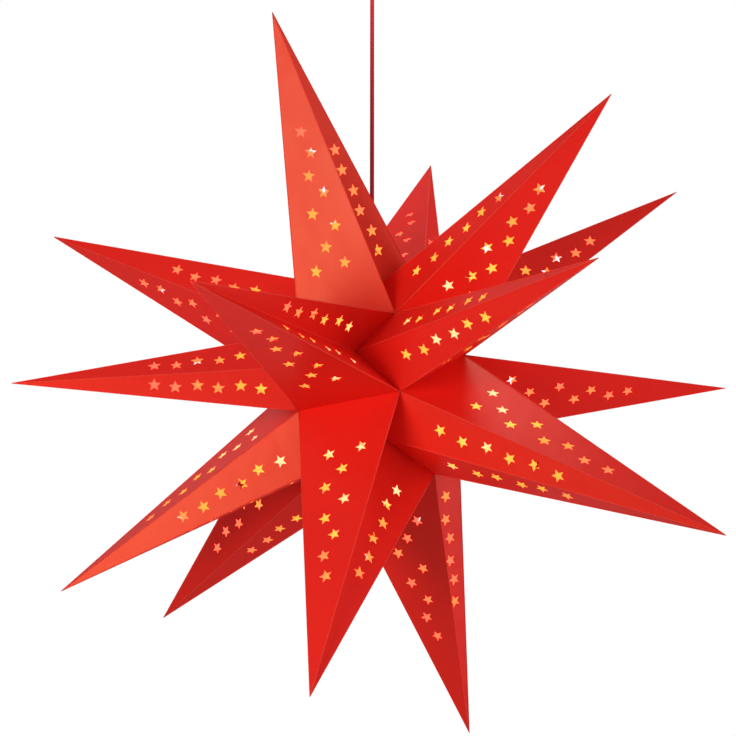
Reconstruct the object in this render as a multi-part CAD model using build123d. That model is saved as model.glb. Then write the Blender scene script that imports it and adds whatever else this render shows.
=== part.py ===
"""LED paper star pendant: folded card star, lampholder with LED lamp, straight cord and ceiling cup.

Millimetres, +Z up. The origin is on the ceiling, where the cord's axis meets it.
"""
from build123d import *
import math
import os

# Paper star, measured from its centre. The star's axis lies along X and its closing seam is on top.
SEGMENTS = 6
POINT_REACH = 300.0
SIDE_LATITUDE = 54.0
RIDGE_RADIUS = 70.0
RIDGE_HALF = 44.0
FOLD_RADIUS = 76.0
FOLD_HALF = 18.0
POLE_HALF = 76.0
POLE_RISE = 12.0
CARD = 0.5
FLAP_DEPTH = 7.0

# Leans of single points: (column angle, latitude, share of the reach), for points that hang out of line.
LEANS = {
    ("left", 1): (3.0, 0.0, 0.0),
    ("left", 2): (0.0, 0.0, -0.043),
    ("left", 3): (3.0, 3.0, 0.0),
    ("left", 4): (-2.0, 2.0, 0.0),
    ("middle", 1): (2.0, 0.0, 0.013),
    ("middle", 2): (1.0, 0.0, 0.0),
    ("middle", 4): (0.0, 0.0, 0.02),
    ("middle", 6): (-2.0, 0.0, 0.0),
    ("right", 1): (0.0, -1.5, 0.0),
    ("right", 2): (0.0, -1.0, 0.0),
    ("right", 3): (22.0, 4.5, 0.053),
    ("right", 4): (-10.0, 4.0, -0.083),
    ("right", 6): (-4.0, -2.0, 0.0),
}

# Corners of the core that the hanging card pulls out of line: (along the axis, upward). Ridges count from
# the closing seam, folds by their segment.
CORNER_SHIFTS = {
    ("ridge", "left", 1): (6.0, 0.0),
    ("ridge", "left", 2): (2.5, 6.5),
    ("ridge", "right", 2): (0.0, 7.5),
    ("ridge", "left", 3): (0.0, 10.5),
    ("ridge", "right", 3): (0.0, -9.5),
    ("fold", "left", 1): (0.0, 12.0),
    ("fold", "right", 2): (-2.0, 5.0),
    ("fold", "right", 3): (0.0, 11.0),
}

# Star-shaped holes: outer radius, waist, and places as (share of the height, share of the half width).
HOLE_RAYS = 5
HOLE_RADIUS = 5.2
HOLE_WAIST = 0.45
WIDE_HOLES = [(0.18, 0.44), (0.19, -0.31), (0.25, 0.06), (0.31, -0.34), (0.36, 0.25),
              (0.42, -0.28), (0.48, 0.10), (0.55, -0.20), (0.62, 0.0)]
NARROW_COUNT = 6
NARROW_FIRST = 0.155
NARROW_PITCH = 0.073
NARROW_ZIGZAG = 0.08

# Hanging
STAR_DROP = 430.0
TILT = 3.6
CORD_RADIUS = 1.8
CORD_ENTRY = 10.0
CLEAR = 0.3

# Lampholder and nipple, heights above the star's centre
DISC_RADIUS = 20.0
DISC_THICK = 2.5
NIPPLE_RADIUS = 5.0
NIPPLE_BORE = 2.7
NIPPLE_RISE = 11.0
NIPPLE_INSIDE = 6.0
NUT_FLATS = 14.0
NUT_THICK = 4.0
NOTCH_RADIUS = 10.0
CAP_HEIGHT = 15.0
CAP_RADIUS = 16.0
BARREL_LENGTH = 37.0
BARREL_RADIUS = 14.0
BARREL_WALL = 3.0
SHELL_RADIUS = 7.6
SHELL_WALL = 0.45
SEAT = 0.05
CAP_WALL = 3.0
CAP_NECK = 9.0
CONTACT_RADIUS = 3.0
CONTACT_DROP = 4.0

# LED lamp
LAMP_BODY_LENGTH = 18.0
LAMP_BODY_RADIUS = 17.0
LAMP_NECK_RADIUS = 9.0
BOARD_RADIUS = 13.0
BOARD_THICK = 1.2
CHIP_SIZE = 2.8
CHIP_THICK = 0.7
CHIP_COUNT = 8
GLOBE_RADIUS = 20.0
GLOBE_WALL = 1.2

# Seam clips
CLIP_LENGTH = 11.0
CLIP_HEIGHT = 3.0
CLIP_WALL = 0.8
CLIP_PLACE = 28.0

# Ceiling fitting
CUP_GAP = 1.8
CUP_ROUND = 6.0
CUP_HEIGHT = 58.0
CUP_WALL = 2.0
BRACKET_WIDTH = 18.0
BRACKET_THICK = 1.5
SCREW_SPACING = 60.0
SCREW_EDGE = 5.0
SCREW_HOLE = 2.2
ANCHOR_SIZE = 16.0
ANCHOR_HEIGHT = 14.0
TERMINAL_LENGTH = 18.0
TERMINAL_HEIGHT = 12.0
TERMINAL_GAP = 2.0
CORE_RADIUS = 0.7
CORE_SPREAD = 4.0
CORE_BACK = 2.0
CORE_PAST = 3.0
CORE_SPARE = 1.0
BUSH_RADIUS = 6.0
BUSH_FLANGE = 9.0
BUSH_FLANGE_THICK = 2.5
BUSH_NUT_THICK = 3.0
BUSH_TAIL = 7.0
BUSH_TAIL_RADIUS = 5.0
CORD_TOP = 6.8
CHAMBER_DEEP = 4.0
GRUB_RADIUS = 1.25
GRUB_INSET = 3.0
GRUB_PROUD = 1.0

os.makedirs("parts", exist_ok=True)

half_segment = 180.0 / SEGMENTS
flap_keep = 1.0 - FLAP_DEPTH / RIDGE_RADIUS
seam_foot = RIDGE_RADIUS * flap_keep
disc_top = seam_foot - CLEAR
disc_foot = disc_top - DISC_THICK
cap_foot = disc_foot - CAP_HEIGHT
barrel_foot = cap_foot - BARREL_LENGTH
nipple_top = seam_foot + NIPPLE_RISE
hang_height = STAR_DROP - nipple_top
bracket_length = SCREW_SPACING + 2 * SCREW_EDGE
cup_inside = math.hypot(bracket_length / 2, BRACKET_WIDTH / 2) + CUP_GAP
cup_radius = cup_inside + CUP_WALL


def save(shape, name):
    export_step(shape, f"parts/{name}.step")


def hang(shape):
    """Place a shape from the star's own frame under the cord, tipped about the cord's entry."""
    return Location((0, 0, -hang_height), (0, -TILT, 0)) * Location((0, 0, -nipple_top)) * shape


def polar(along, radius, angle):
    """A place by its distance along the axis, its radius and its angle from the top toward the front."""
    turn = math.radians(angle)
    return Vector(along, -radius * math.sin(turn), radius * math.cos(turn))


def column_angle(number):
    return half_segment * (2 * number - 1)


def point_tip(side, number):
    turn, rise, longer = LEANS.get((side, number), (0.0, 0.0, 0.0))
    sign = {"left": -1, "middle": 0, "right": 1}[side]
    latitude = math.radians(sign * SIDE_LATITUDE + sign * rise)
    reach = POINT_REACH * (1.0 + longer)
    angle = column_angle(number) + turn
    return polar(reach * math.sin(latitude), reach * math.cos(latitude), angle)


def core_corner(kind, side, number=0):
    """A corner that several points share: a ridge between segments, a fold in one, or a side's pole."""
    sign = 1 if side == "right" else -1
    if kind == "pole":
        return Vector(sign * POLE_HALF, 0, POLE_RISE)
    number = number % SEGMENTS
    if kind == "ridge":
        place = polar(sign * RIDGE_HALF, RIDGE_RADIUS, 2 * half_segment * number)
    else:
        place = polar(sign * FOLD_HALF, FOLD_RADIUS, column_angle(number))
    along, upward = CORNER_SHIFTS.get((kind, side, number), (0.0, 0.0))
    return place + Vector(along, 0, upward)


def point_base(side, number):
    """Corners of a point's base, in order, with True where a wide panel starts at the corner."""
    if side == "middle":
        return [(core_corner("ridge", "right", number - 1), False),
                (core_corner("fold", "right", number), False),
                (core_corner("ridge", "right", number), True),
                (core_corner("ridge", "left", number), False),
                (core_corner("fold", "left", number), False),
                (core_corner("ridge", "left", number - 1), True)]
    places = [core_corner("ridge", side, number), core_corner("fold", side, number),
              core_corner("ridge", side, number - 1), core_corner("pole", side)]
    if side == "left":
        places = [places[2], places[1], places[0], places[3]]
    return list(zip(places, [False, False, True, True]))


def solve(rows, values):
    """Point that three planes share, by Cramer's rule."""
    a, b, c = rows
    det = a.dot(b.cross(c))
    mixed = b.cross(c) * values[0] + c.cross(a) * values[1] + a.cross(b) * values[2]
    return mixed * (1.0 / det)


def loop(points):
    return Wire.make_polygon(points, close=True)


def star_outline(centre, across, upward):
    outline = []
    for step in range(2 * HOLE_RAYS):
        radius = HOLE_RADIUS if step % 2 == 0 else HOLE_RADIUS * HOLE_WAIST
        turn = math.pi * step / HOLE_RAYS
        outline.append(centre + across * (radius * math.cos(turn)) + upward * (radius * math.sin(turn)))
    return outline


def hole_places(wide):
    if wide:
        return WIDE_HOLES
    places = []
    for step in range(NARROW_COUNT):
        zigzag = NARROW_ZIGZAG if step % 2 == 0 else -NARROW_ZIGZAG
        places.append((NARROW_FIRST + NARROW_PITCH * step, zigzag))
    return places


def panel_faces(tip, start, end, inner, wide):
    """Outer and inner face of one card panel with its star holes, and the holes' walls."""
    normal = (start - tip).cross(end - tip).normalized()
    inner_normal = (inner[1] - inner[0]).cross(inner[2] - inner[0]).normalized()
    middle = (start + end) * 0.5
    upward = (tip - middle).normalized()
    across = normal.cross(upward).normalized()
    outer_holes = []
    inner_holes = []
    walls = []
    for share, side in hole_places(wide):
        half = (end - start) * (0.5 * (1.0 - share))
        centre = middle + (tip - middle) * share + half * side
        outline = star_outline(centre, across, upward)
        depth = [(inner[0] - place).dot(inner_normal) / normal.dot(inner_normal) for place in outline]
        sunk = [place + normal * down for place, down in zip(outline, depth)]
        outer_holes.append(loop(outline))
        inner_holes.append(loop(sunk))
        for step in range(2 * HOLE_RAYS):
            follow = (step + 1) % (2 * HOLE_RAYS)
            walls.append(Face(loop([outline[step], outline[follow], sunk[follow], sunk[step]])))
    outer = Face(loop([tip, start, end]), outer_holes)
    lining = Face(loop(list(inner)), inner_holes)
    return [outer, lining] + walls


def point_shell(side, number):
    """One hollow point: folded panels, holes, and a glue flap on every base edge."""
    tip = point_tip(side, number)
    base = point_base(side, number)
    corners = [corner for corner, wide in base]
    count = len(corners)
    centroid = sum(corners, Vector(0, 0, 0)) * (1.0 / count)
    flap_normals = []
    panel_normals = []
    for index in range(count):
        start = corners[index]
        end = corners[(index + 1) % count]
        flap = start.cross(end).normalized()
        flap_normals.append(flap if flap.dot(centroid) > 0 else flap * -1)
        panel = (start - tip).cross(end - tip).normalized()
        panel_normals.append(panel if panel.dot(centroid - tip) > 0 else panel * -1)
    inner_corners = []
    for index in range(count):
        corner = corners[index]
        inward = corner.normalized() * -1
        shift = solve([flap_normals[index - 1], flap_normals[index], inward], [CARD, CARD, 0.0])
        sink = 0.0
        for panel in (panel_normals[index - 1], panel_normals[index]):
            sink = max(sink, (CARD - panel.dot(shift)) / panel.dot(inward))
        inner_corners.append(corner + shift + inward * sink)
    aim = (centroid - tip).normalized()
    inner_tip = tip + aim * max(CARD / panel.dot(aim) for panel in panel_normals)
    faces = []
    for index in range(count):
        follow = (index + 1) % count
        start = corners[index]
        end = corners[follow]
        inner_start = inner_corners[index]
        inner_end = inner_corners[follow]
        faces += panel_faces(tip, start, end, (inner_tip, inner_start, inner_end), base[index][1])
        faces.append(Face(loop([start, end, end * flap_keep, start * flap_keep])))
        faces.append(Face(loop([inner_start, inner_end, inner_end * flap_keep, inner_start * flap_keep])))
        rim = [start * flap_keep, end * flap_keep, inner_end * flap_keep, inner_start * flap_keep]
        faces.append(Face(loop(rim[:3])))
        faces.append(Face(loop([rim[0], rim[2], rim[3]])))
    return Solid(Shell(faces))


def tube(outer, inner, low, high):
    ring = Cylinder(outer, high - low) - Cylinder(inner, high - low)
    return Location((0, 0, (low + high) / 2)) * ring


def rod(radius, low, high):
    return Location((0, 0, (low + high) / 2)) * Cylinder(radius, high - low)


def rounded_rod(radius, low, high, rounding):
    solid = rod(radius, low, high)
    return fillet(solid.edges().sort_by(Axis.Z)[0], rounding)


def make_star():
    notch = rod(NOTCH_RADIUS, disc_foot, nipple_top + NOTCH_RADIUS)
    for number in range(1, SEGMENTS + 1):
        for side in ("left", "middle", "right"):
            shell = point_shell(side, number)
            if side == "middle" and number in (1, SEGMENTS):
                shell = shell - notch
            save(hang(shell), f"point_{number}_{side}")
    for name, sign in (("left", -1), ("right", 1)):
        outer = Box(CLIP_LENGTH, 2 * (CARD + SEAT + CLIP_WALL), CLIP_HEIGHT + CLIP_WALL)
        slot = Location((0, 0, CLIP_WALL)) * Box(CLIP_LENGTH, 2 * (CARD + SEAT), CLIP_HEIGHT + CLIP_WALL)
        clip_height = seam_foot - CLEAR + (CLIP_HEIGHT - CLIP_WALL) / 2
        clip = Location((sign * CLIP_PLACE, 0, clip_height)) * (outer - slot)
        save(hang(clip), f"seam_clip_{name}")


def cross_rod(radius, start, end, height, turn=0.0):
    """A rod across the cord's axis, from one distance to another, at a height."""
    bar = Location(((start + end) / 2, 0, 0), (0, 90, 0)) * Cylinder(radius, end - start)
    return Location((0, 0, height), (0, 0, turn)) * bar


def hexagon(flats, bore, low, high):
    sketch = RegularPolygon(flats / 2, 6, major_radius=False)
    nut = Location((0, 0, low)) * extrude(sketch, high - low)
    return nut - rod(bore, low, high)


def cone(foot_radius, top_radius, low, high):
    return Location((0, 0, (low + high) / 2)) * Cone(foot_radius, top_radius, high - low)


def make_holder():
    bore = NIPPLE_RADIUS + SEAT
    grub_height = nipple_top - GRUB_INSET
    save(hang(tube(DISC_RADIUS, bore, disc_foot, disc_top)), "hanger_disc")
    save(hang(hexagon(NUT_FLATS, bore, disc_top, disc_top + NUT_THICK)), "nipple_nut")
    nipple = tube(NIPPLE_RADIUS, NIPPLE_BORE, disc_foot - NIPPLE_INSIDE, nipple_top)
    nipple -= cross_rod(GRUB_RADIUS + SEAT, 0.0, 2 * NIPPLE_RADIUS, grub_height)
    save(hang(nipple), "nipple")
    grub = cross_rod(GRUB_RADIUS, CORD_RADIUS + CLEAR, NIPPLE_RADIUS + GRUB_PROUD, grub_height)
    save(hang(grub), "nipple_screw")
    cap = cone(CAP_RADIUS, CAP_NECK, cap_foot, disc_foot)
    cap -= cone(CAP_RADIUS - CAP_WALL, CAP_NECK - CAP_WALL, cap_foot, disc_foot - CAP_WALL)
    cap -= rod(bore, cap_foot, disc_foot)
    save(hang(cap), "holder_cap")
    ceiling = cap_foot - BARREL_WALL
    barrel = rod(BARREL_RADIUS, barrel_foot, cap_foot)
    barrel -= rod(SHELL_RADIUS + SEAT, barrel_foot, ceiling)
    save(hang(barrel), "holder_barrel")
    shell = tube(SHELL_RADIUS, SHELL_RADIUS - SHELL_WALL, barrel_foot + BARREL_WALL, ceiling - BARREL_WALL)
    save(hang(shell), "holder_shell")
    save(hang(rod(CONTACT_RADIUS, ceiling - CONTACT_DROP, ceiling)), "holder_contact")


def make_lamp():
    lamp_top = cap_foot - BARREL_WALL - CONTACT_DROP - CLEAR
    button_foot = lamp_top - CONTACT_DROP / 2
    body_top = barrel_foot - CLEAR
    body_foot = body_top - LAMP_BODY_LENGTH
    cap_radius = SHELL_RADIUS - SHELL_WALL - CLEAR
    cap_bore = cap_radius - SHELL_WALL
    save(hang(rod(CONTACT_RADIUS, button_foot, lamp_top)), "bulb_contact")
    cap = rod(cap_radius, body_top, button_foot) - rod(cap_bore, body_top, button_foot - SHELL_WALL)
    save(hang(cap), "bulb_cap")
    body = cone(LAMP_BODY_RADIUS, LAMP_NECK_RADIUS, body_foot, body_top)
    body += rod(cap_bore - SEAT, body_top, body_top + LAMP_NECK_RADIUS)
    save(hang(body), "bulb_body")
    board_foot = body_foot - BOARD_THICK
    save(hang(rod(BOARD_RADIUS, board_foot, body_foot)), "led_board")
    chips = []
    for step in range(CHIP_COUNT):
        place = Location((0, 0, 0), (0, 0, 360.0 * step / CHIP_COUNT))
        chip = Location((BOARD_RADIUS - CHIP_SIZE, 0, board_foot - CHIP_THICK / 2))
        chips.append(place * chip * Box(CHIP_SIZE, CHIP_SIZE, CHIP_THICK))
    save(hang(Compound(children=chips)), "led_chips")
    sink = math.sqrt(GLOBE_RADIUS ** 2 - LAMP_BODY_RADIUS ** 2)
    globe = Sphere(GLOBE_RADIUS) - Sphere(GLOBE_RADIUS - GLOBE_WALL)
    globe -= rod(2 * GLOBE_RADIUS, sink, sink + 2 * GLOBE_RADIUS)
    save(hang(Location((0, 0, body_foot - sink)) * globe), "bulb_globe")


def make_ceiling():
    under = -BRACKET_THICK
    bracket = Location((0, 0, under / 2)) * Box(bracket_length, BRACKET_WIDTH, BRACKET_THICK)
    for sign in (-1, 1):
        bracket -= Location((sign * SCREW_SPACING / 2, 0, 0)) * rod(SCREW_HOLE, under, 0)
    save(bracket, "ceiling_bracket")
    grub_height = under - ANCHOR_HEIGHT + GRUB_INSET
    core_height = -CORD_TOP + CORE_RADIUS + SEAT
    spread = CORE_SPREAD + CORE_RADIUS + SEAT
    anchor = Location((0, 0, under - ANCHOR_HEIGHT / 2)) * Box(ANCHOR_SIZE, ANCHOR_SIZE, ANCHOR_HEIGHT)
    chamber = Box(2 * CHAMBER_DEEP, 2 * spread, CHAMBER_DEEP)
    anchor -= Location((0, 0, -CORD_TOP + CHAMBER_DEEP / 4)) * chamber
    anchor -= rod(CORD_RADIUS + SEAT, under - ANCHOR_HEIGHT, -CORD_TOP)
    anchor -= cross_rod(GRUB_RADIUS + SEAT, 0.0, ANCHOR_SIZE, grub_height, -90.0)
    terminal_start = ANCHOR_SIZE / 2 + TERMINAL_GAP
    terminal = Box(TERMINAL_LENGTH, ANCHOR_SIZE, TERMINAL_HEIGHT)
    terminal = Location((terminal_start + TERMINAL_LENGTH / 2, 0, under - TERMINAL_HEIGHT / 2)) * terminal
    cores = []
    screws = []
    screw_place = terminal_start + TERMINAL_LENGTH / 2
    core_end = screw_place + CORE_PAST
    for sign in (-1, 1):
        side = Location((0, sign * CORE_SPREAD, 0))
        channel = side * cross_rod(CORE_RADIUS + SEAT, 0.0, core_end + CORE_SPARE, core_height)
        anchor -= channel
        terminal -= channel
        cores.append(side * cross_rod(CORE_RADIUS, -CORE_BACK, core_end, core_height))
        well = Location((screw_place, sign * CORE_SPREAD, 0))
        foot = under - TERMINAL_HEIGHT
        terminal -= well * rod(GRUB_RADIUS + SEAT, foot, core_height)
        screws.append(well * rod(GRUB_RADIUS, foot - GRUB_PROUD, core_height - CORE_RADIUS - SEAT))
    save(anchor, "anchor_block")
    save(terminal, "terminal_block")
    save(Compound(children=cores), "core_wires")
    save(Compound(children=screws), "terminal_screws")
    grub = cross_rod(GRUB_RADIUS, CORD_RADIUS + SEAT, ANCHOR_SIZE / 2 + GRUB_PROUD, grub_height, -90.0)
    save(grub, "anchor_screw")


def make_cup():
    foot = -CLEAR - CUP_HEIGHT
    floor = foot + CUP_WALL
    cup = rounded_rod(cup_radius, foot, -CLEAR, CUP_ROUND)
    cup -= rounded_rod(cup_inside, floor, -CLEAR, CUP_ROUND - CUP_WALL)
    cup -= rod(BUSH_RADIUS + SEAT, foot, floor)
    save(cup, "ceiling_cup")
    flange = foot - BUSH_FLANGE_THICK
    tail = flange - BUSH_TAIL
    bush = rod(BUSH_RADIUS, foot, floor + 2 * BUSH_NUT_THICK) + rod(BUSH_FLANGE, flange, foot)
    bush += rod(BUSH_TAIL_RADIUS, tail, flange)
    bush -= rod(CORD_RADIUS + CLEAR, tail, floor + 2 * BUSH_NUT_THICK)
    screw_height = flange - BUSH_TAIL / 2
    bush -= cross_rod(GRUB_RADIUS + SEAT, 0.0, 2 * BUSH_TAIL_RADIUS, screw_height)
    save(bush, "cord_bush")
    save(tube(BUSH_FLANGE, BUSH_RADIUS + SEAT, floor, floor + BUSH_NUT_THICK), "bush_nut")
    grub = cross_rod(GRUB_RADIUS, CORD_RADIUS + CLEAR, BUSH_TAIL_RADIUS + GRUB_PROUD, screw_height)
    save(grub, "bush_screw")


def make_cord():
    save(rod(CORD_RADIUS, -hang_height - CORD_ENTRY, -CORD_TOP), "cord")


make_star()
make_holder()
make_lamp()
make_ceiling()
make_cup()
make_cord()
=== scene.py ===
"""LED paper star pendant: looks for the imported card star, its cord, lamp and ceiling cup. Metres, +Z up."""
import math

import bpy
import numpy as np
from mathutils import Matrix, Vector


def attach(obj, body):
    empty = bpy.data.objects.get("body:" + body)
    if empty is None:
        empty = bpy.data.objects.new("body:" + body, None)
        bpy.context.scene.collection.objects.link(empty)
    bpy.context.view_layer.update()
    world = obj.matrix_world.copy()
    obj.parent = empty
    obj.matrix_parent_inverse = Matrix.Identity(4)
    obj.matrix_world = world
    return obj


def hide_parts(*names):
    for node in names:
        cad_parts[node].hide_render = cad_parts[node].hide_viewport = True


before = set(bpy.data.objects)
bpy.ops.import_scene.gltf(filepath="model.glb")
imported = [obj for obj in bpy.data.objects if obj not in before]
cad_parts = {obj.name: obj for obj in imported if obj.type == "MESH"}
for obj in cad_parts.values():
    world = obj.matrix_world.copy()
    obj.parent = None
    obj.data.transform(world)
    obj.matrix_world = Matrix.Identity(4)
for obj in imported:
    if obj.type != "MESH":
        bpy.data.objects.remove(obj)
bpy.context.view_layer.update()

# The star's own measures, as in the part: metres and degrees.
SEGMENTS = 6
SIDES = ("left", "middle", "right")
POINT_REACH = 0.300
SIDE_LATITUDE = 54.0
RIDGE_RADIUS = 0.070
RIDGE_HALF = 0.044
FOLD_RADIUS = 0.076
FOLD_HALF = 0.018
POLE_HALF = 0.076
POLE_RISE = 0.012
TILT = 3.6
STAR_DROP = 0.430
NIPPLE_TOP = 0.074
HANG_HEIGHT = STAR_DROP - NIPPLE_TOP
CORD_RADIUS = 0.0018
CORD_TOP = 0.0068
CORD_ENTRY = 0.010
HALF_SEGMENT = 180.0 / SEGMENTS

# How far a point stands out of true: turn and rise in degrees, and the share by which it is longer.
LEANS = {
    ("left", 1): (3.0, 0.0, 0.0),
    ("left", 2): (0.0, 0.0, -0.043),
    ("left", 3): (3.0, 3.0, 0.0),
    ("left", 4): (-2.0, 2.0, 0.0),
    ("middle", 1): (2.0, 0.0, 0.013),
    ("middle", 2): (1.0, 0.0, 0.0),
    ("middle", 4): (0.0, 0.0, 0.02),
    ("middle", 6): (-2.0, 0.0, 0.0),
    ("right", 1): (0.0, -1.5, 0.0),
    ("right", 2): (0.0, -1.0, 0.0),
    ("right", 3): (22.0, 4.5, 0.053),
    ("right", 4): (-10.0, 4.0, -0.083),
    ("right", 6): (-4.0, -2.0, 0.0),
}
# How far a corner of the core is pulled out of true: along the star's axis, and upward.
CORNER_SHIFTS = {
    ("ridge", "left", 1): (0.006, 0.0),
    ("ridge", "left", 2): (0.0025, 0.0065),
    ("ridge", "right", 2): (0.0, 0.0075),
    ("ridge", "left", 3): (0.0, 0.0105),
    ("ridge", "right", 3): (0.0, -0.0095),
    ("fold", "left", 1): (0.0, 0.012),
    ("fold", "right", 2): (-0.002, 0.005),
    ("fold", "right", 3): (0.0, 0.011),
}


def hang(places):
    """Places in the star's own frame, moved under the cord and tipped about the cord's entry."""
    turn = math.radians(-TILT)
    tip = np.array([
        [math.cos(turn), 0, math.sin(turn)],
        [0, 1, 0],
        [-math.sin(turn), 0, math.cos(turn)],
    ])
    return (np.asarray(places, float) - (0, 0, NIPPLE_TOP)) @ tip.T + (0, 0, -HANG_HEIGHT)


STAR_CENTRE = hang((0.0, 0.0, 0.0))


def polar(along, radius, angle):
    """A place by its distance along the star's axis, its radius, and its angle from the top to the front."""
    turn = math.radians(angle)
    return np.array([along, -radius * math.sin(turn), radius * math.cos(turn)])


def point_tip(side, number):
    """A point's tip: its reach at the side's latitude, half way round its segment, plus its lean."""
    turn, rise, longer = LEANS.get((side, number), (0.0, 0.0, 0.0))
    sign = SIDES.index(side) - 1
    latitude = math.radians(sign * (SIDE_LATITUDE + rise))
    reach = POINT_REACH * (1.0 + longer)
    angle = HALF_SEGMENT * (2 * number - 1) + turn
    return polar(reach * math.sin(latitude), reach * math.cos(latitude), angle)


def core_corner(kind, side, number=0):
    """A corner that several points share: a ridge between segments, a fold in one, or a side's pole."""
    sign = 1 if side == "right" else -1
    if kind == "pole":
        return np.array([sign * POLE_HALF, 0.0, POLE_RISE])
    number = number % SEGMENTS
    if kind == "ridge":
        place = polar(sign * RIDGE_HALF, RIDGE_RADIUS, 2 * HALF_SEGMENT * number)
    else:
        place = polar(sign * FOLD_HALF, FOLD_RADIUS, HALF_SEGMENT * (2 * number - 1))
    along, upward = CORNER_SHIFTS.get((kind, side, number), (0.0, 0.0))
    return place + (along, 0.0, upward)


def point_corners(side, number):
    """Base corners of one point, in order round it."""
    if side == "middle":
        return [
            core_corner("ridge", "right", number - 1),
            core_corner("fold", "right", number),
            core_corner("ridge", "right", number),
            core_corner("ridge", "left", number),
            core_corner("fold", "left", number),
            core_corner("ridge", "left", number - 1),
        ]
    return [
        core_corner("ridge", side, number),
        core_corner("fold", side, number),
        core_corner("ridge", side, number - 1),
        core_corner("pole", side),
    ]


def hue(code):
    """Linear RGBA of an sRGB hex value."""
    parts = np.array([int(code[i:i + 2], 16) for i in (1, 3, 5)]) / 255.0
    linear = np.where(parts <= 0.04045, parts / 12.92, ((parts + 0.055) / 1.055) ** 2.4)
    return (*linear.tolist(), 1.0)


def add(tree, kind, links=None, **settings):
    """One node of a material: its settings, then each input from a value or another node's socket."""
    made = tree.nodes.new("ShaderNode" + kind)
    for name, value in settings.items():
        setattr(made, name, value)
    for socket, source in (links or {}).items():
        if isinstance(source, bpy.types.NodeSocket):
            tree.links.new(source, made.inputs[socket])
        else:
            made.inputs[socket].default_value = source
    return made


def finish_named(name):
    """A new material with only its output and shader, as (material, tree, shader)."""
    material = bpy.data.materials.new(name)
    material.use_nodes = True
    tree = material.node_tree
    return material, tree, tree.nodes["Principled BSDF"]


def grains_per_metre(width_mm):
    """A noise's scale from the width of one of its grains."""
    return 1000.0 / width_mm


def dress(names, material):
    """Give CAD nodes a finish."""
    for name in names:
        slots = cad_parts[name].data.materials
        slots.clear()
        slots.append(material)


def piece(name, places, faces, material, body):
    """A smooth mesh object at the origin that rides on a body."""
    mesh = bpy.data.meshes.new(name)
    mesh.from_pydata(places.tolist(), [], faces)
    mesh.polygons.foreach_set("use_smooth", np.ones(len(mesh.polygons), bool))
    mesh.materials.append(material)
    mesh.update()
    made = bpy.data.objects.new(name, mesh)
    bpy.context.scene.collection.objects.link(made)
    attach(made, body)
    return made


def tube_faces(rows, columns, first=0):
    """Quads between the rings of a closed tube, then one face over its start and one over its end."""
    row, column = np.meshgrid(np.arange(rows - 1), np.arange(columns), indexing="ij")
    follow = (column + 1) % columns
    quads = np.stack([
        row * columns + column,
        row * columns + follow,
        (row + 1) * columns + follow,
        (row + 1) * columns + column,
    ], -1).reshape(-1, 4)
    start = np.arange(columns)[::-1]
    end = np.arange(columns) + (rows - 1) * columns
    return [(face + first).tolist() for face in (*quads, start, end)]


def tube_grid(path, radii, columns):
    """Circle of each radius carried along a straight or slowly bending path: place + r (cos a, sin a)."""
    ahead = np.gradient(path, axis=0)
    ahead /= np.linalg.norm(ahead, axis=1, keepdims=True)
    helper = np.array([1.0, 0.0, 0.0]) if abs(ahead[0][0]) < 0.7 else np.array([0.0, 1.0, 0.0])
    across = np.cross(ahead, helper)
    across /= np.linalg.norm(across, axis=1, keepdims=True)
    beside = np.cross(ahead, across)
    angle = (2 * np.pi * np.arange(columns) / columns)[None, :, None]
    ring = across[:, None] * np.cos(angle) + beside[:, None] * np.sin(angle)
    radii = np.broadcast_to(radii, (len(path), columns))
    return path[:, None] + ring * radii[..., None]


# Coated card, red through its surface: calendered paper with a satin print varnish, so it has a soft broad
# sheen and a faint fibre grain. Its lining carries a painted glow of the lamp, which shows through the
# die-cut holes.
CARD_RED = "#E7231A"
CARD_DEEP = "#DC1D19"
# Two points get a warmer, more orange red than the rest: painted sheen, in place of part of the orange sheen
# of the light on them.
SHEEN_PAINTED_CARD = {
    ("middle", 1): ("#EC4230", "#E43A2B"),
    ("left", 3): ("#E93025", "#E12A22"),
}
# Print mottle, and paper fibres: real fibres are finer than a pixel, so they are drawn this coarse to show.
MOTTLE_MM = 50.0
FIBRE_MM = 1.1
PRINT_RANGE = (0.35, 0.65)
PRINT_DEPTH = 0.35
CARD_ROUGHNESS = (0.58, 0.74)
WAVE_STRENGTH = 0.4
WAVE_HEIGHT = 0.004
FIBRE_STRENGTH = 0.12
FIBRE_HEIGHT = 0.0003
VARNISH = 0.27
VARNISH_ROUGHNESS = 0.38
# The painted glow of the lining, from the lamp outwards: metres from the star's centre where the colours
# start and end.
GLOW = [(0.0, "#FFF2B0"), (0.12, "#FFE05C"), (0.4, "#FFC047"), (0.68, "#F29A55"), (1.0, "#E07F62")]
GLOW_START = 0.08
GLOW_END = 0.26
GLOW_RANGE = (0.3, 0.7)
GLOW_MOTTLE = 0.3
# Painted shade on the painted glow of some points, for the holder and the glue flaps that shade their mouths:
# their glow fades as if it were this much further.
SHADED = {
    ("left", 1): 0.06,
    ("left", 2): 0.06,
    ("left", 4): 0.03,
    ("middle", 1): 0.05,
    ("middle", 2): 0.05,
    ("middle", 4): 0.08,
    ("middle", 6): 0.08,
    ("right", 5): 0.05,
    ("right", 6): 0.03,
}


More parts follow.
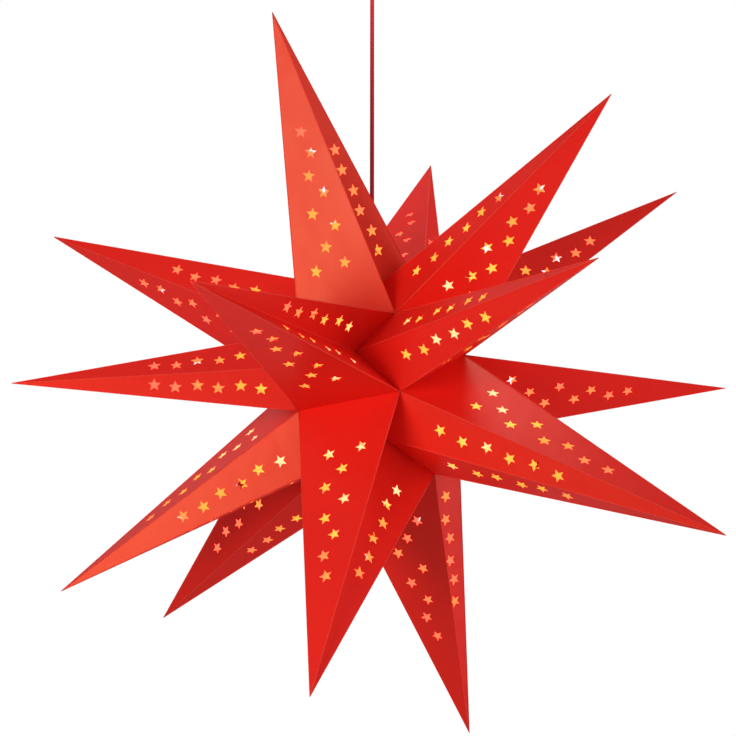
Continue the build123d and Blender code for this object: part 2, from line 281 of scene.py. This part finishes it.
def red_card(side, number):
    """The card of one point. The lining faces its axis: normal . (place - axis) is below zero there."""
    material, tree, shader = finish_named(f"coated_red_card_{number}_{side}")
    foot = hang(np.mean(point_corners(side, number), axis=0))
    axis = hang(point_tip(side, number)) - foot
    axis /= np.linalg.norm(axis)
    place = add(tree, "TexCoord")
    here = place.outputs["Object"]

    spot = add(tree, "VectorMath", {0: here, 1: tuple(foot)}, operation="SUBTRACT")
    along = add(tree, "VectorMath", {0: spot.outputs[0], 1: tuple(axis)}, operation="PROJECT")
    out = add(tree, "VectorMath", {0: spot.outputs[0], 1: along.outputs[0]}, operation="SUBTRACT")
    facing = add(tree, "VectorMath", {0: place.outputs["Normal"], 1: out.outputs[0]},
                 operation="DOT_PRODUCT")
    lining = add(tree, "Math", {0: facing.outputs["Value"], 1: 0.0}, operation="LESS_THAN")
    # Painted lamplight: the lining glows by its own emission, not by the lamp's light.
    tree.links.new(lining.outputs["Value"], shader.inputs["Emission Strength"])

    mottle = add(tree, "TexNoise", {"Vector": here, "Scale": grains_per_metre(MOTTLE_MM), "Detail": 2.0})
    fibre = add(tree, "TexNoise", {"Vector": here, "Scale": grains_per_metre(FIBRE_MM), "Detail": 3.0})

    # Painted glow colour: warm near the star's centre and fading outwards, sooner in the shaded points
    # (painted shade).
    reach = add(tree, "VectorMath", {0: here, 1: tuple(STAR_CENTRE)}, operation="DISTANCE")
    dimmer = SHADED.get((side, number), 0.0)
    share = add(tree, "MapRange", {"Value": reach.outputs["Value"], "From Min": GLOW_START - dimmer,
                                   "From Max": GLOW_END - dimmer})
    uneven = add(tree, "MapRange", {"Value": mottle.outputs["Fac"], "From Min": GLOW_RANGE[0],
                                    "From Max": GLOW_RANGE[1], "To Min": -GLOW_MOTTLE, "To Max": GLOW_MOTTLE})
    level = add(tree, "Math", {0: share.outputs["Result"], 1: uneven.outputs["Result"]}, operation="ADD")
    glow = add(tree, "ValToRGB", {"Fac": level.outputs["Value"]})
    ramp = glow.color_ramp.elements
    ramp[0].color = hue(GLOW[0][1])
    ramp[1].color = hue(GLOW[-1][1])
    for stop, code in GLOW[1:-1]:
        ramp.new(stop).color = hue(code)
    tree.links.new(glow.outputs["Color"], shader.inputs["Emission Color"])
    material.cycles.emission_sampling = "NONE"

    # Painted sheen: the two listed points take warmer reds here.
    light, deep = SHEEN_PAINTED_CARD.get((side, number), (CARD_RED, CARD_DEEP))
    blotch = add(tree, "MapRange", {"Value": mottle.outputs["Fac"], "From Min": PRINT_RANGE[0],
                                    "From Max": PRINT_RANGE[1], "To Min": 0.0, "To Max": PRINT_DEPTH})
    tone = add(tree, "Mix", {"Factor": blotch.outputs["Result"], "A": hue(light), "B": hue(deep)},
               data_type="RGBA")
    tree.links.new(tone.outputs["Result"], shader.inputs["Base Color"])

    rough = add(tree, "MapRange", {"Value": fibre.outputs["Fac"], "To Min": CARD_ROUGHNESS[0],
                                   "To Max": CARD_ROUGHNESS[1]})
    tree.links.new(rough.outputs["Result"], shader.inputs["Roughness"])
    wave = add(tree, "Bump", {"Height": mottle.outputs["Fac"], "Strength": WAVE_STRENGTH,
                              "Distance": WAVE_HEIGHT})
    grain = add(tree, "Bump", {"Height": fibre.outputs["Fac"], "Normal": wave.outputs["Normal"],
                               "Strength": FIBRE_STRENGTH, "Distance": FIBRE_HEIGHT})
    tree.links.new(grain.outputs["Normal"], shader.inputs["Normal"])
    tree.links.new(grain.outputs["Normal"], shader.inputs["Coat Normal"])
    shader.inputs["Specular IOR Level"].default_value = 0.0
    shader.inputs["Coat Weight"].default_value = VARNISH
    shader.inputs["Coat Roughness"].default_value = VARNISH_ROUGHNESS
    return material


# Finishes of the small parts. Their real grain is finer than a pixel, so it is drawn this coarse to show.
ROUGHNESS_SPREAD = 0.06
GRAIN_STRENGTH = 0.1
GRAIN_HEIGHT = 0.0002


def plain_finish(name, base, other, grain_mm, roughness, metallic=0.0, specular=0.5, glow=None, strength=0.0):
    """Two tones that follow a noise of that grain width, with the noise in the roughness and the bump."""
    material, tree, shader = finish_named(name)
    place = add(tree, "TexCoord")
    noise = add(tree, "TexNoise", {"Vector": place.outputs["Object"], "Scale": grains_per_metre(grain_mm),
                                   "Detail": 3.0})
    tone = add(tree, "Mix", {"Factor": noise.outputs["Fac"], "A": hue(base), "B": hue(other)},
               data_type="RGBA")
    tree.links.new(tone.outputs["Result"], shader.inputs["Base Color"])
    rough = add(tree, "MapRange", {"Value": noise.outputs["Fac"], "To Min": roughness - ROUGHNESS_SPREAD,
                                   "To Max": roughness + ROUGHNESS_SPREAD})
    tree.links.new(rough.outputs["Result"], shader.inputs["Roughness"])
    grain = add(tree, "Bump", {"Height": noise.outputs["Fac"], "Strength": GRAIN_STRENGTH,
                               "Distance": GRAIN_HEIGHT})
    tree.links.new(grain.outputs["Normal"], shader.inputs["Normal"])
    shader.inputs["Metallic"].default_value = metallic
    shader.inputs["Specular IOR Level"].default_value = specular
    if glow:
        shader.inputs["Emission Color"].default_value = hue(glow)
        shader.inputs["Emission Strength"].default_value = strength
        material.cycles.emission_sampling = "NONE"
    return material


# Scored card along its folds: drawn paler than the card, and it hardly shines.
pale_fold = plain_finish("pale_card_fold", "#E52A22", "#EA4A3C", 1.4, 0.5, specular=0.1)
# Injection-moulded polycarbonate: an even warm white with a soft shine.
white_plastic = plain_finish("moulded_white_polycarbonate", "#EFEDE8", "#E6E3DC", 0.7, 0.42)
# Hot-dip galvanised steel: grey with the spangle of its zinc.
steel = plain_finish("galvanised_steel", "#B9BBBD", "#9FA2A5", 3.3, 0.38, metallic=1.0)
# Zinc-plated steel screws: brighter and slightly yellow.
zinc = plain_finish("zinc_plated_screw", "#C9C8C2", "#B0AFA8", 1.1, 0.3, metallic=1.0)
# Brass, turned and left bare: yellow metal with a fairly sharp shine.
brass = plain_finish("turned_brass", "#C9A553", "#B28E3E", 1.25, 0.3, metallic=1.0)
# Pressed lamp cap, nickel plated: the smoothest of the metals here.
nickel = plain_finish("nickel_plated_cap", "#CFCBC4", "#BDB8AF", 1.4, 0.22, metallic=1.0)
# Lamp collar, moulded in filled plastic: white and a little duller than the cup.
lamp_plastic = plain_finish("lamp_collar_plastic", "#F1F0EC", "#E4E2DC", 0.8, 0.45)
# Circuit board under white solder mask: a cool, even white.
board = plain_finish("solder_masked_board", "#E9ECEB", "#D9DDDC", 1.1, 0.5)
# Phosphor in clear resin on the LED chips: yellow, and lit.
phosphor = plain_finish("led_phosphor", "#F4DB6A", "#EEC94E", 0.7, 0.3, glow="#FFE2A0", strength=2.0)
# Blow-moulded opal polycarbonate: milky, and lit warm from inside.
opal = plain_finish("opal_polycarbonate", "#FBF6EA", "#F6EEDC", 1.7, 0.4, glow="#FFD98A", strength=1.6)
# Drawn copper wire, bare at the terminals: a warm bright metal.
copper = plain_finish("drawn_copper", "#C07A4E", "#A9683F", 1.1, 0.3, metallic=1.0)

points = [(side, number) for number in range(1, SEGMENTS + 1) for side in SIDES]
for side, number in points:
    dress([f"point_{number}_{side}"], red_card(side, number))
dress(["seam_clip_left", "seam_clip_right", "ceiling_bracket"], steel)
dress(["anchor_screw", "terminal_screws", "bush_screw", "nipple_screw"], zinc)
dress(["anchor_block", "terminal_block", "holder_cap", "holder_barrel", "hanger_disc", "ceiling_cup",
       "cord_bush", "bush_nut"], white_plastic)
dress(["nipple", "nipple_nut", "holder_shell", "holder_contact", "bulb_contact"], brass)
dress(["bulb_cap"], nickel)
dress(["bulb_body"], lamp_plastic)
dress(["led_board"], board)
dress(["led_chips"], phosphor)
dress(["bulb_globe"], opal)
dress(["core_wires"], copper)

# Folds: a scored fold in card stands a little proud, so each carries a thin bead, drawn paler than the card.
FOLD_BEAD_TIP = 0.0003
FOLD_BEAD_FOOT = 0.00045
FOLD_RINGS = 12
FOLD_SIDES = 8


def fold_beads(side, number):
    """Tubes from a point's tip to its base corners: the radius grows to the foot, and ends are closed."""
    tip = point_tip(side, number)
    run = np.linspace(0.0, 1.0, FOLD_RINGS)[:, None]
    radii = FOLD_BEAD_TIP + (FOLD_BEAD_FOOT - FOLD_BEAD_TIP) * run
    places = []
    faces = []
    for bead, corner in enumerate(point_corners(side, number)):
        path = hang(tip + (corner - tip) * run)
        places.append(tube_grid(path, radii, FOLD_SIDES).reshape(-1, 3))
        faces += tube_faces(FOLD_RINGS, FOLD_SIDES, bead * FOLD_RINGS * FOLD_SIDES)
    return np.concatenate(places), faces


for side, number in points:
    places, faces = fold_beads(side, number)
    piece(f"folds_{number}_{side}", places, faces, pale_fold, "star")

# Cord: a textile-covered flex, braided over two cores, taut under the star's weight.
CORD_ROUTE = [(0, 0, -CORD_TOP), (0, 0, -0.10), (0, 0, -0.25), (0, 0, -HANG_HEIGHT - CORD_ENTRY)]
ROUTE_RESOLUTION = 24
CORD_RINGS = 480
BRAID_COLUMNS = 32
BRAID_PITCH = 0.0060
BRAID_STRANDS = 8
BRAID_LEAD = BRAID_PITCH * BRAID_STRANDS
BRAID_RELIEF = 0.00012
# Painted shade: the braid is coloured darker where a strand dips under its neighbours.
BRAID_DIP_SHADE = "#7A121B"
BRAID_RED = "#AE3038"
BRAID_RANGE = (-0.5, 1.0)
BRAID_STRENGTH = 0.4
BRAID_HEIGHT = 0.0003
BRAID_ROUGHNESS = 0.7
BRAID_SPECULAR = 0.08


def braided_flex():
    """Woven rayon: two sets of strands cross, so the sheen breaks into small diamonds, and the colour is
    painted darker where a strand dips under: painted shade.

    The height is the larger of sin(n (u + v)) and sin(n (u - v)), for u round the cord and v along it.
    """
    material, tree, shader = finish_named("braided_rayon_cord")
    weave = add(tree, "UVMap", uv_map="weave")
    parts = add(tree, "SeparateXYZ", {0: weave.outputs["UV"]})
    heights = []
    for sign in (1.0, -1.0):
        lead = add(tree, "Math", {0: parts.outputs["Y"], 1: sign}, operation="MULTIPLY")
        phase = add(tree, "Math", {0: parts.outputs["X"], 1: lead.outputs["Value"]}, operation="ADD")
        turn = add(tree, "Math", {0: phase.outputs["Value"], 1: 2 * math.pi * BRAID_STRANDS},
                   operation="MULTIPLY")
        wave = add(tree, "Math", {0: turn.outputs["Value"]}, operation="SINE")
        heights.append(wave.outputs["Value"])
    top = add(tree, "Math", {0: heights[0], 1: heights[1]}, operation="MAXIMUM")
    level = add(tree, "MapRange", {"Value": top.outputs["Value"], "From Min": BRAID_RANGE[0],
                                   "From Max": BRAID_RANGE[1]})
    tone = add(tree, "Mix", {"Factor": level.outputs["Result"], "A": hue(BRAID_DIP_SHADE), "B": hue(BRAID_RED)},
               data_type="RGBA")
    tree.links.new(tone.outputs["Result"], shader.inputs["Base Color"])
    bump = add(tree, "Bump", {"Height": level.outputs["Result"], "Strength": BRAID_STRENGTH,
                              "Distance": BRAID_HEIGHT})
    tree.links.new(bump.outputs["Normal"], shader.inputs["Normal"])
    shader.inputs["Roughness"].default_value = BRAID_ROUGHNESS
    shader.inputs["Specular IOR Level"].default_value = BRAID_SPECULAR
    return material


def cord_line():
    """The route's NURBS spline, read as points from the curve with no bevel."""
    curve = bpy.data.curves.new("cord_route", "CURVE")
    curve.dimensions = "3D"
    curve.resolution_u = ROUTE_RESOLUTION
    spline = curve.splines.new("NURBS")
    spline.points.add(len(CORD_ROUTE) - 1)
    for point, place in zip(spline.points, CORD_ROUTE):
        point.co = (*place, 1.0)
    spline.order_u = 3
    spline.use_endpoint_u = True
    holder = bpy.data.objects.new("cord_route", curve)
    bpy.context.scene.collection.objects.link(holder)
    bpy.context.view_layer.update()
    mesh = bpy.data.meshes.new_from_object(holder.evaluated_get(bpy.context.evaluated_depsgraph_get()))
    line = np.zeros(len(mesh.vertices) * 3)
    mesh.vertices.foreach_get("co", line)
    bpy.data.objects.remove(holder)
    bpy.data.meshes.remove(mesh)
    return line.reshape(-1, 3)


def weave_map(mesh, steps):
    """UV map of the braid: u is the share of a turn round the cord, v its length in leads of a strand.

    A face that closes the ring takes u = 1 instead of 0 on its far side.
    """
    corners = np.zeros(len(mesh.loops), np.int32)
    first = np.zeros(len(mesh.polygons), np.int32)
    total = np.zeros(len(mesh.polygons), np.int32)
    mesh.loops.foreach_get("vertex_index", corners)
    mesh.polygons.foreach_get("loop_start", first)
    mesh.polygons.foreach_get("loop_total", total)
    row, column = np.divmod(corners, BRAID_COLUMNS)
    smallest = np.repeat(np.minimum.reduceat(column, first), total)
    largest = np.repeat(np.maximum.reduceat(column, first), total)
    closes = (largest == BRAID_COLUMNS - 1) & (smallest == 0) & (column == 0)
    across = np.where(closes, 1.0, column / BRAID_COLUMNS)
    along = steps[row] / BRAID_LEAD
    layer = mesh.uv_layers.new(name="weave")
    layer.data.foreach_set("uv", np.stack([across, along], -1).astype(np.float32).ravel())


def make_cord():
    """Round section carried down the line, its radius rising where a strand of the braid is on top."""
    line = cord_line()
    run = np.concatenate([[0.0], np.cumsum(np.linalg.norm(np.diff(line, axis=0), axis=1))])
    length = run[-1]
    steps = np.linspace(0.0, length, CORD_RINGS)
    path = np.stack([np.interp(steps, run, line[:, axis]) for axis in range(3)], -1)
    around = np.arange(BRAID_COLUMNS) / BRAID_COLUMNS
    lead = steps[:, None] / BRAID_LEAD
    strands = [np.sin(2 * np.pi * BRAID_STRANDS * (around[None] + sign * lead)) for sign in (1, -1)]
    radii = CORD_RADIUS - BRAID_RELIEF * (1 - np.maximum(*strands)) / 2
    places = tube_grid(path, radii, BRAID_COLUMNS).reshape(-1, 3)
    faces = tube_faces(CORD_RINGS, BRAID_COLUMNS)
    flex = piece("braided_cord", places, faces, braided_flex(), "pendant")
    weave_map(flex.data, steps)
    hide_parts("cord")


make_cord()

# Floor: far below, as under a hanging lamp, and pale.
FLOOR_DROP = 4.0
FLOOR_HALF = 9.0
FLOOR_PALE = "#F6F5F3"
FLOOR_GREY = "#F1F0EE"
FLOOR_CLOUD_MM = 1000.0 / 3.0
FLOOR_ROUGHNESS = 0.8
FLOOR_LIFT = 0.6
# Distances from the ceiling mount between which the floor pales into the white background.
FLOOR_FADE = (4.2, 7.0)
# Light: the world's strength where it falls on the object.
WORLD_LIGHT = 0.26
# Camera: degrees from the star's front and from level, metres from its centre, millimetres.
CAMERA_AZIMUTH = 23.9
CAMERA_ELEVATION = -15.4
CAMERA_DISTANCE = 1.368
CAMERA_SENSOR = 36.0
CAMERA_LENS = 83.3
CAMERA_SHIFT = (-0.0124, 0.0242)


def shown_ray(tree):
    """A socket that is 1 where the camera, a gloss or a clear surface looks, and 0 where light falls."""
    ray = add(tree, "LightPath")
    seen = add(tree, "Math", {0: ray.outputs["Is Camera Ray"], 1: ray.outputs["Is Glossy Ray"]},
               operation="MAXIMUM")
    shown = add(tree, "Math", {0: seen.outputs["Value"], 1: ray.outputs["Is Transmission Ray"]},
                operation="MAXIMUM")
    return shown.outputs["Value"]


def make_floor():
    """A flat square far below the star, pale, and paler with distance so that it has no edge."""
    material, tree, shader = finish_named("pale_floor")
    place = add(tree, "TexCoord")
    noise = add(tree, "TexNoise", {"Vector": place.outputs["Object"], "Detail": 2.0,
                                   "Scale": grains_per_metre(FLOOR_CLOUD_MM)})
    tone = add(tree, "Mix", {"Factor": noise.outputs["Fac"], "A": hue(FLOOR_PALE), "B": hue(FLOOR_GREY)},
               data_type="RGBA")
    tree.links.new(tone.outputs["Result"], shader.inputs["Base Color"])
    shader.inputs["Roughness"].default_value = FLOOR_ROUGHNESS
    away = add(tree, "VectorMath", {0: place.outputs["Object"]}, operation="LENGTH")
    fade = add(tree, "MapRange", {"Value": away.outputs["Value"], "From Min": FLOOR_FADE[0],
                                  "From Max": FLOOR_FADE[1], "To Min": FLOOR_LIFT, "To Max": 1.0})
    lift = add(tree, "Math", {0: shown_ray(tree), 1: fade.outputs["Result"]}, operation="MULTIPLY")
    shader.inputs["Emission Color"].default_value = hue("#FFFFFF")
    tree.links.new(lift.outputs["Value"], shader.inputs["Emission Strength"])
    material.cycles.emission_sampling = "NONE"
    corners = np.array([(-1, -1), (1, -1), (1, 1), (-1, 1)]) * FLOOR_HALF
    mesh = bpy.data.meshes.new("floor")
    mesh.from_pydata([(x, y, -FLOOR_DROP) for x, y in corners.tolist()], [], [(0, 1, 2, 3)])
    mesh.materials.append(material)
    floor = bpy.data.objects.new("floor", mesh)
    bpy.context.scene.collection.objects.link(floor)


def make_world():
    """White where the camera, a gloss or a clear surface looks, and a dimmer even light on the object."""
    world = bpy.data.worlds.new("studio")
    bpy.context.scene.world = world
    world.use_nodes = True
    tree = world.node_tree
    level = add(tree, "MapRange", {"Value": shown_ray(tree), "To Min": WORLD_LIGHT, "To Max": 1.0})
    back = tree.nodes["Background"]
    back.inputs["Color"].default_value = hue("#FFFFFF")
    tree.links.new(level.outputs["Result"], back.inputs["Strength"])


def direction(azimuth, elevation):
    """Unit vector from the star: azimuth 0 is the front and 90 the right, elevation 90 the top."""
    turn = math.radians(azimuth)
    rise = math.radians(elevation)
    return Vector((math.sin(turn) * math.cos(rise), -math.cos(turn) * math.cos(rise), math.sin(rise)))


def aim(name, data, away, distance):
    """A lamp or camera at a distance from the star's centre, turned to look at it."""
    holder = bpy.data.objects.new(name, data)
    holder.location = Vector(STAR_CENTRE) + away * distance
    holder.rotation_mode = "QUATERNION"
    holder.rotation_quaternion = away.to_track_quat("Z", "Y")
    bpy.context.scene.collection.objects.link(holder)
    return holder


def softbox(name, azimuth, elevation, distance, size, power, colour, diffuse=True, glossy=True):
    """A square lamp that looks at the star from a direction."""
    lamp = bpy.data.lights.new(name, "AREA")
    lamp.shape = "SQUARE"
    lamp.size = size
    lamp.energy = power
    lamp.color = hue(colour)[:3]
    holder = aim(name, lamp, direction(azimuth, elevation), distance)
    holder.visible_camera = False
    holder.visible_diffuse = diffuse
    holder.visible_glossy = glossy


def make_camera():
    """The photograph's view: below the star, looking up at it from a little to the right."""
    lens = bpy.data.cameras.new("camera")
    lens.sensor_width = CAMERA_SENSOR
    lens.lens = CAMERA_LENS
    lens.shift_x, lens.shift_y = CAMERA_SHIFT
    away = direction(CAMERA_AZIMUTH, CAMERA_ELEVATION)
    bpy.context.scene.camera = aim("camera", lens, away, CAMERA_DISTANCE)


make_floor()
make_world()
# Name, azimuth, elevation, distance, width, power in watts, colour.
softbox("key_front", -8.0, -10.0, 1.1, 0.5, 6.6, "#FFF0DC")
softbox("sheen_low", -10.0, -28.0, 1.6, 0.8, 30.0, "#FFDF90", diffuse=False)
softbox("sheen_top", 100.0, 76.0, 0.72, 0.25, 2.8, "#FFD2BC", diffuse=False)
softbox("fill_right", 60.0, 0.0, 2.2, 0.9, 5.5, "#FFFFFF")
softbox("side_right", 98.0, -8.0, 2.2, 0.9, 18.0, "#FFF4EA")
softbox("floor_bounce", 30.0, -72.0, 2.0, 1.2, 3.5, "#FFF4EA")
softbox("ceiling_bounce", 0.0, 86.0, 0.37, 0.2, 0.3, "#FFF4EA", glossy=False)
softbox("back_left", -145.0, 10.0, 2.2, 1.0, 18.0, "#FFFFFF", glossy=False)
make_camera()
bpy.context.scene.view_settings.view_transform = "Standard"
